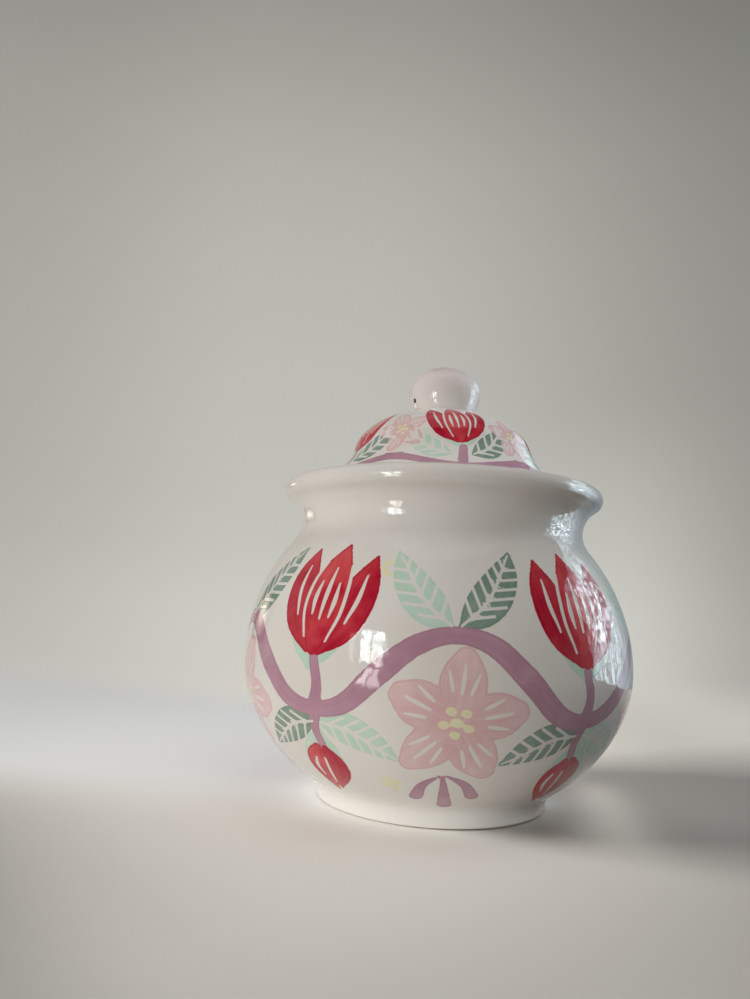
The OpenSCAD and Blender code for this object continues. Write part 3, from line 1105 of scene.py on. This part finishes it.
# %% Knob glaze
PINK_WHITE = (0.80, 0.76, 0.74, 1)
PINK_PATCH = (0.77, 0.66, 0.64, 1)
MAUVE_WASH = (0.62, 0.46, 0.49, 1)
PIT_BROWN = (0.08, 0.05, 0.04, 1)
WASH_START = 121
WASH_FULL = 125
blush, tree, shader, place = new_finish("blush_glaze")
in_pit = ramp(tree, distance(tree, place, pit * MM), PIT_R * MM + 0.3 * MM, PIT_R * MM)
high_up = ramp(tree, axes(tree, place)["Z"], WASH_START * MM, WASH_FULL * MM)
on_top = product(tree, high_up, ramp(tree, noise(tree, place, 150, 2), 0.35, 0.6))
colour = glazed_white(tree, place, PINK_WHITE, PINK_PATCH)
colour = mix(tree, product(tree, on_top, 0.8), colour, MAUVE_WASH)
tree.links.new(mix(tree, in_pit, colour, PIT_BROWN), shader.inputs["Base Color"])
glaze_coat(tree, shader, place, 0.7)
knob.data.materials.append(blush)
print("knob glaze nodes", len(tree.nodes))

# %% [markdown]
# ## The floor and the wall
#
# The pot stands on a pale tabletop in front of a pale wall. A photographer's sweep does the same with a
# floor that curves up into a wall without an edge. Spinning its bent outline gives a round sweep, so
# every side of the pot has the same plain background. Its faces have to look inwards, at the pot.
#
# The wall isn't lit as the pot is. To the camera and in reflections it glows by itself, darker towards
# the top and both sides. To the light it is an ordinary wall, and the floor keeps the pot's shadow. The
# light that the floor throws back up at the pot has a colour of its own, pale near the pot and dark to
# the right, where the room is. Light Path tells these rays apart.
#
# The floor's colour holds painted light and shade. It is painted bright and cool behind the pot, and
# darker towards the right and the lower corners of the picture, where the window's light ends, which
# also deepens the pot's shadow on the right. Beside and in front of the picture it is plain again, for
# views from other sides. The sweep casts no shadow, because the lamps stand behind its wall.

# %% Floor
FLOOR_R = 130
COVE_R = 690
WALL_H = 1700

sweep_outline = [(0, 0), (60, 0), (FLOOR_R, 0)]
sweep_outline += arc((FLOOR_R, COVE_R), COVE_R, -90, 0, 40)
sweep_outline += [(FLOOR_R + COVE_R, WALL_H)]
sweep = turned("sweep", sweep_outline, 96)
sweep.visible_shadow = False

# %% Floor colour
PALE_FLOOR = (0.92, 0.905, 0.865, 1)
BACK_FLOOR = (0.80, 0.82, 0.855, 1)
EDGE_FLOOR = (0.45, 0.45, 0.42, 1)
BLACK = (0, 0, 0, 1)

paper, tree, shader, place = new_finish("paper_sweep")
x, y, z = axes(tree, place)
# Painted light and shade: the floor is painted paler and cooler behind the pot and darker to the front, the
# sides and the right, which also deepens the shadow on the right.
beside = product(tree, x, ramp(tree, y, 0.06, -0.10, 0.0, 1.4))
before = ramp(tree, y, 0.04, -0.16, 0.0, 0.085)
to_edge = hypotenuse(tree, beside, before)
at_back = product(tree, ramp(tree, y, -0.045, 0.015), ramp(tree, y, 0.19, 0.12))
at_back = product(tree, at_back, ramp(tree, x, 0.06, -0.02))
floor_colour = mix(tree, at_back, PALE_FLOOR, BACK_FLOOR)
floor_colour = mix(tree, ramp(tree, to_edge, 0.05, 0.17), floor_colour, EDGE_FLOOR)
in_front = ramp(tree, y, 0.01, -0.045, 1.0, 0.77)
to_front_right = ramp(tree, calculate(tree, "SUBTRACT", x, y), 0.06, 0.14, 1.0, 0.86)
to_front_left = ramp(tree, calculate(tree, "ADD", x, y), -0.145, -0.185, 1.0, 0.80)
to_right_side = ramp(tree, x, 0.05, 0.11, 1.0, 0.84)
to_left_side = ramp(tree, x, -0.07, -0.17, 1.0, 0.95)
shade = product(tree, in_front, to_front_right, to_front_left, to_right_side, to_left_side)
floor_colour = mix(tree, shade, BLACK, floor_colour)
print("floor colour nodes", len(tree.nodes))

# %% Floor outside the picture
VIEW_SPOT = 0.218
VIEW_LEFT = -0.53
VIEW_RIGHT = 0.39
VIEW_FRONT = -0.125

path = add_node(tree, "ShaderNodeLightPath").outputs
forward = calculate(tree, "ADD", y, VIEW_SPOT)
sideways = calculate(tree, "DIVIDE", x, hypotenuse(tree, x, forward))
off_left = ramp(tree, sideways, VIEW_LEFT, VIEW_LEFT - 0.19)
off_right = ramp(tree, sideways, VIEW_RIGHT, VIEW_RIGHT + 0.21)
off_front = ramp(tree, y, VIEW_FRONT, VIEW_FRONT - 0.065)
off_view = calculate(tree, "MAXIMUM", off_front, calculate(tree, "MAXIMUM", off_left, off_right))
plain_again = product(tree, path["Is Camera Ray"], off_view)
floor_colour = mix(tree, plain_again, floor_colour, PALE_FLOOR)
print("the picture shows the floor to", -VIEW_FRONT, "m before the pot's middle")

# %% Light from the floor
NEAR_BOUNCE = (0.55, 0.54, 0.515, 1)
FAR_BOUNCE = (0.26, 0.255, 0.24, 1)
DARK_ROOM = (0.05, 0.05, 0.046, 1)

bounce = mix(tree, ramp(tree, hypotenuse(tree, x, y), 0.14, 0.34), NEAR_BOUNCE, FAR_BOUNCE)
to_right = calculate(tree, "MULTIPLY_ADD", x, 1.6, product(tree, y, -0.5))
bounce = mix(tree, ramp(tree, to_right, 0.02, 0.13), bounce, DARK_ROOM)
seen = calculate(tree, "MAXIMUM", path["Is Camera Ray"], path["Is Glossy Ray"])
seen_wall = product(tree, seen, ramp(tree, z, 0.001, 0.02))
visible = mix(tree, seen, bounce, floor_colour)
tree.links.new(mix(tree, seen_wall, visible, BLACK), shader.inputs["Base Color"])
print("floor near the pot throws back", NEAR_BOUNCE[:3])

# %% Glow of the wall
WALL_TINT = (1, 0.99, 0.9)
WALL_GLOW = (
    (0, 0.64),
    (0.05, 0.615),
    (0.10, 0.57),
    (0.16, 0.545),
    (0.30, 0.517),
    (0.46, 0.493),
    (0.55, 0.478),
    (0.71, 0.435),
    (0.80, 0.395),
    (0.90, 0.35),
    (1, 0.31),
)

glow = add_node(tree, "ShaderNodeValToRGB", {0: z})
for number, (height, level) in enumerate(WALL_GLOW):
    if number < 2:
        stop = glow.color_ramp.elements[number]
        stop.position = height
    else:
        stop = glow.color_ramp.elements.new(height)
    stop.color = [level * part for part in WALL_TINT] + [1]
tree.links.new(glow.outputs["Color"], shader.inputs["Emission Color"])
print("the wall glows from", WALL_GLOW[0][1], "at the floor to", WALL_GLOW[-1][1], "a metre up")

# %% Sides of the wall
fall_low = ramp(tree, sideways, 0.22, 0.42, 0.97, 0.62)
fall_high = ramp(tree, sideways, -0.15, 0.60, 1.0, 0.50)
fall_left = ramp(tree, sideways, -0.25, -0.62, 1.0, 0.78)
rising = ramp(tree, z, 0.05, 0.35)
fall_gain = product(tree, rising, calculate(tree, "SUBTRACT", fall_high, fall_low))
fall_right = calculate(tree, "ADD", fall_gain, fall_low)
behind_camera = product(tree, path["Is Glossy Ray"], ramp(tree, y, 0.0, -0.30, 0.0, 0.8))
in_view = rest_of(tree, behind_camera)
fall = product(tree, fall_right, fall_left)
falls_here = calculate(tree, "MAXIMUM", ramp(tree, y, 0.0, 0.2), path["Is Glossy Ray"])
fall = calculate(tree, "MULTIPLY_ADD", falls_here, calculate(tree, "SUBTRACT", fall, 1.0), 1.0)
tree.links.new(product(tree, seen_wall, fall, in_view), shader.inputs["Emission Strength"])
shader.inputs["Roughness"].default_value = 0.9
shader.inputs["Specular IOR Level"].default_value = 0.1
sweep.data.materials.append(paper)
print("sweep radius", FLOOR_R + COVE_R, "mm, nodes", len(tree.nodes))

# %% [markdown]
# ## The light
#
# Soft light comes from the left and leaves the right of the pot in shade. A wide low lamp on the left
# makes the shadow, one beside the camera opens up the front, cool ones come from a door on the right, and
# big faint ones above stand for the room. The gloss doesn't show them. What it shows is made in the next
# step, so that the two can be set one by one.
#
# The floor has lamps of its own. The shadow needs one strong light from the left, and the pot needs
# several weak ones, so light linking tells each lamp what it lights: the floor, all but the floor, or
# the lid and its knob, which stand higher in the light of the door. A small lamp beside the foot stands
# for the light that the shiny belly throws down there, because Cycles leaves that out.

# %% Helper for lamps
AIM = Vector((0, 0, 55 * MM))
SOFT_LIGHT = (1.0, 0.975, 0.93)


def facing(azimuth, elevation=0):
    """Direction from the pot. Azimuth 0 is the camera's side, and 90 is to the right."""
    return Vector((sind(azimuth) * cosd(elevation), -cosd(azimuth) * cosd(elevation), sind(elevation)))


def add_lamp(name, receivers, way, size, radiance, colour=SOFT_LIGHT, aim=AIM):
    """A soft lamp that the gloss doesn't show. Way is its azimuth, elevation and distance from its aim."""
    azimuth, elevation, far = way
    width, height = size
    side = facing(azimuth, elevation)
    bpy.ops.object.light_add(type="AREA", location=aim + side * far * MM)
    lamp = bpy.context.object
    lamp.name = name
    lamp.rotation_euler = side.to_track_quat("Z", "Y").to_euler()
    lamp.data.shape = "RECTANGLE"
    lamp.data.size = width * MM
    lamp.data.size_y = height * MM
    lamp.data.energy = radiance * math.pi * width * MM * height * MM
    lamp.data.color = colour
    lamp.visible_camera = False
    lamp.visible_glossy = False
    lamp.light_linking.receiver_collection = receivers
    print(name, "at azimuth", azimuth, "elevation", elevation, "watts", round(lamp.data.energy, 2))


print("lamps aim at", [round(c / MM) for c in AIM], "mm")

# %% Receivers
floor_only = bpy.data.collections.new("floor_only")
floor_only.objects.link(sweep)
all_but_floor = bpy.data.collections.new("all_but_floor")
all_but_floor.objects.link(sweep)
all_but_floor.collection_objects[0].light_linking.link_state = "EXCLUDE"
lid_only = bpy.data.collections.new("lid_only")
lid_only.objects.link(lid)
lid_only.objects.link(knob)
print("lamps can light", floor_only.name, all_but_floor.name, "or", lid_only.name)

# %% Lamps
COOL_LIGHT = (0.86, 0.92, 1.0)
BESIDE_FOOT = Vector((38 * MM, -3 * MM, 0))

add_lamp("floor_light", floor_only, (-80, 14, 1500), (650, 250), 78.0)
add_lamp("floor_fill", floor_only, (60, 75, 1200), (700, 700), 1.15)
add_lamp("foot_glow", floor_only, (85, 50, 18), (60, 10), 0.9, SOFT_LIGHT, BESIDE_FOOT)
add_lamp("side_light", all_but_floor, (-80, 12, 1200), (400, 300), 9.1)
add_lamp("front_light", all_but_floor, (-30, 1, 1200), (400, 400), 12.2)
add_lamp("right_light", all_but_floor, (60, 30, 1200), (400, 400), 1.4, COOL_LIGHT)
add_lamp("door_light", all_but_floor, (118, 20, 1200), (400, 400), 13.3, COOL_LIGHT)
add_lamp("lid_light", lid_only, (100, 35, 1200), (400, 400), 9.5, COOL_LIGHT)
add_lamp("top_light", all_but_floor, (40, 75, 1200), (700, 700), 1.7)

# %% Room light
ROOM_LIGHT = (1.0, 0.99, 0.96, 1)
ROOM_LEVEL = 0.5

world = bpy.data.worlds.new("room")
scene.world = world
world.use_nodes = True
background = world.node_tree.nodes["Background"]
background.inputs["Color"].default_value = ROOM_LIGHT
background.inputs["Strength"].default_value = ROOM_LEVEL
print("room light at level", ROOM_LEVEL)

# %% [markdown]
# ## Windows in the gloss
#
# A glaze shows what stands round it: a window beside the camera, with its bars, a sheen on the table
# below it, a bright door far to the right with a faint window high above it, and a small lamp behind on
# the left. Each is a card that glows, and only reflections see it. Where a mirror image lies on the belly
# tells the direction that its card is in. Noise on the cards stands for the twigs and leaves outside.

# %% Cards
def add_card(name, middle, azimuth, tilt, width, height):
    """A sheet that faces the pot from an azimuth. Tilt 90 stands upright, and 0 lies flat."""
    deselect_all()
    turn = (math.radians(tilt), 0, math.radians(azimuth))
    bpy.ops.mesh.primitive_plane_add(size=1, location=middle * MM, rotation=turn)
    card = bpy.context.object
    card.name = name
    card.scale = (width * MM, height * MM, 1)
    bpy.ops.object.transform_apply(location=True, rotation=True, scale=True)
    card.visible_camera = False
    card.visible_diffuse = False
    card.visible_transmission = False
    card.visible_shadow = False
    print(name, "card", width, "by", height, "mm")
    return card


def upright_card(name, azimuth, far, left, right, low, high):
    """An upright card far from the pot, between two edges across and two heights."""
    across = facing(azimuth + 90) * (left + right) / 2
    middle = facing(azimuth) * far + across + Vector((0, 0, (low + high) / 2))
    return add_card(name, middle, azimuth, 90, right - left, high - low)


print("helpers for cards:", add_card.__name__, upright_card.__name__)


# %% Glow of a card
def card_glow(card):
    """A glowing material for a card: its node tree, its emission, and its place from 0 to 1 each way."""
    material = bpy.data.materials.new(card.name + "_glow")
    material.use_nodes = True
    tree = material.node_tree
    tree.nodes.clear()
    emission = add_node(tree, "ShaderNodeEmission")
    output = add_node(tree, "ShaderNodeOutputMaterial")
    tree.links.new(emission.outputs[0], output.inputs["Surface"])
    spread = add_node(tree, "ShaderNodeTexCoord").outputs["UV"]
    card.data.materials.append(material)
    return tree, emission, spread


def window(tree, u, v, edges, blur):
    """A soft-edged rectangle on a card, from left, right, low and high edges between 0 and 1."""
    left, right, low, high = edges
    sides = product(tree, ramp(tree, u, left - blur, left + blur), ramp(tree, u, right + blur, right - blur))
    ends = product(tree, ramp(tree, v, low - blur, low + blur), ramp(tree, v, high + blur, high - blur))
    return product(tree, sides, ends)


print("helpers for glow:", card_glow.__name__, window.__name__)

# %% Near window
WINDOW_LIGHT = (1.0, 0.985, 0.95, 1)
WINDOW_SKY = (0.84, 0.97, 1.0, 1)
WINDOW_LEVEL = 18.0

near_window = upright_card("near_window", -36, 300, -50, 70, 28, 120)
tree, emission, spread = card_glow(near_window)
u, v = axes(tree, spread)[:2]
dim_pane = product(tree, window(tree, u, v, (0.05, 0.25, 0.04, 0.80), 0.03), 0.22)
left_pane = window(tree, u, v, (0.35, 0.61, 0.05, 0.95), 0.012)
right_pane = product(tree, window(tree, u, v, (0.66, 0.88, 0.05, 0.97), 0.012), 0.9)
last_pane = product(tree, window(tree, u, v, (0.90, 0.98, 0.25, 0.85), 0.02), 0.25)
panes = calculate(tree, "ADD", left_pane, right_pane)
panes = calculate(tree, "ADD", panes, calculate(tree, "ADD", dim_pane, last_pane))
twigs = {0: product(tree, u, 17.0), 1: product(tree, v, 3.0), 2: product(tree, u, v, 6.0)}
garden = noise(tree, add_node(tree, "ShaderNodeCombineXYZ", twigs).outputs[0], 1.0, 3, 0.6)
garden = ramp(tree, garden, 0.40, 0.58, 0.36, 1.0)
tree.links.new(product(tree, panes, garden, WINDOW_LEVEL), emission.inputs["Strength"])
tree.links.new(mix(tree, ramp(tree, v, 0.25, 0.6), WINDOW_LIGHT, WINDOW_SKY), emission.inputs["Color"])
print("near window at level", WINDOW_LEVEL)

# %% Sheen on the table
SHEEN_LEVEL = 10.0
SHEEN_WAY = -30.5

table_sheen = add_card("table_sheen", facing(SHEEN_WAY) * 225 + Vector((0, 0, 13)), SHEEN_WAY, -8, 46, 150)
tree, emission, spread = card_glow(table_sheen)
u, v = axes(tree, spread)[:2]
left_strip = window(tree, u, v, (0.12, 0.46, 0.05, 0.95), 0.05)
right_strip = product(tree, window(tree, u, v, (0.54, 0.86, 0.05, 0.95), 0.05), 0.75)
strips = calculate(tree, "ADD", left_strip, right_strip)
tree.links.new(product(tree, strips, SHEEN_LEVEL), emission.inputs["Strength"])
emission.inputs["Color"].default_value = WINDOW_LIGHT
print("sheen on the table at level", SHEEN_LEVEL)

# %% Far door
DAYLIGHT = (0.76, 0.92, 1.0, 1)
DOOR_LEVEL = 14.0
CLEARING_LEVEL = 8.0

far_door = upright_card("far_door", 128, 230, -200, 150, 6, 200)
tree, emission, spread = card_glow(far_door)
u, v = axes(tree, spread)[:2]
opening = product(tree, ramp(tree, u, 0.0, 0.10), ramp(tree, u, 0.60, 0.16))
lower = ramp(tree, v, 0.31, 0.50, 0.45, 1.0)
fine_streaks = {0: product(tree, u, 62.0), 1: product(tree, v, 3.8)}
stretched = add_node(tree, "ShaderNodeCombineXYZ", fine_streaks).outputs[0]
branches = ramp(tree, noise(tree, stretched, 1.0, 2), 0.42, 0.58, 0.05, 1.0)
leaves = ramp(tree, noise(tree, spread, 18, 2), 0.44, 0.56, 0.12, 1.0)
leaves = calculate(tree, "MAXIMUM", leaves, ramp(tree, v, 0.47, 0.31))
clearing = product(tree, window(tree, u, v, (0.19, 0.24, 0.42, 0.52), 0.02), CLEARING_LEVEL)
core = calculate(tree, "ADD", product(tree, opening, lower, branches, leaves, DOOR_LEVEL), clearing)
past_door = ramp(tree, u, 0.45, 0.68, 0.9, 0.35)
room = product(tree, ramp(tree, u, 0.0, 0.06), ramp(tree, u, 1.0, 0.85), past_door)
tree.links.new(calculate(tree, "ADD", core, room), emission.inputs["Strength"])
emission.inputs["Color"].default_value = DAYLIGHT
print("far door at level", DOOR_LEVEL)

# %% High window
HIGH_LEVEL = 2.4

high_window = upright_card("high_window", 128, 560, -460, 320, 240, 500)
tree, emission, spread = card_glow(high_window)
u, v = axes(tree, spread)[:2]
across = product(tree, ramp(tree, u, 0.0, 0.10), ramp(tree, u, 1.0, 0.70, 0.25, 1.0))
panes = product(tree, across, ramp(tree, v, 1.0, 0.85))
leaves = ramp(tree, noise(tree, spread, 11, 2), 0.40, 0.58, 0.35, 1.0)
tree.links.new(product(tree, panes, leaves, HIGH_LEVEL), emission.inputs["Strength"])
emission.inputs["Color"].default_value = DAYLIGHT
print("high window at level", HIGH_LEVEL)

# %% Back lamp
WARM_LIGHT = (1.0, 0.86, 0.70, 1)
BACK_LEVEL = 4.0

back_lamp = upright_card("back_lamp", -120, 300, -60, 60, 40, 130)
tree, emission, spread = card_glow(back_lamp)
u, v = axes(tree, spread)[:2]
soft = window(tree, u, v, (0.3, 0.7, 0.3, 0.7), 0.25)
tree.links.new(product(tree, soft, BACK_LEVEL), emission.inputs["Strength"])
emission.inputs["Color"].default_value = WARM_LIGHT
print("back lamp at level", BACK_LEVEL)
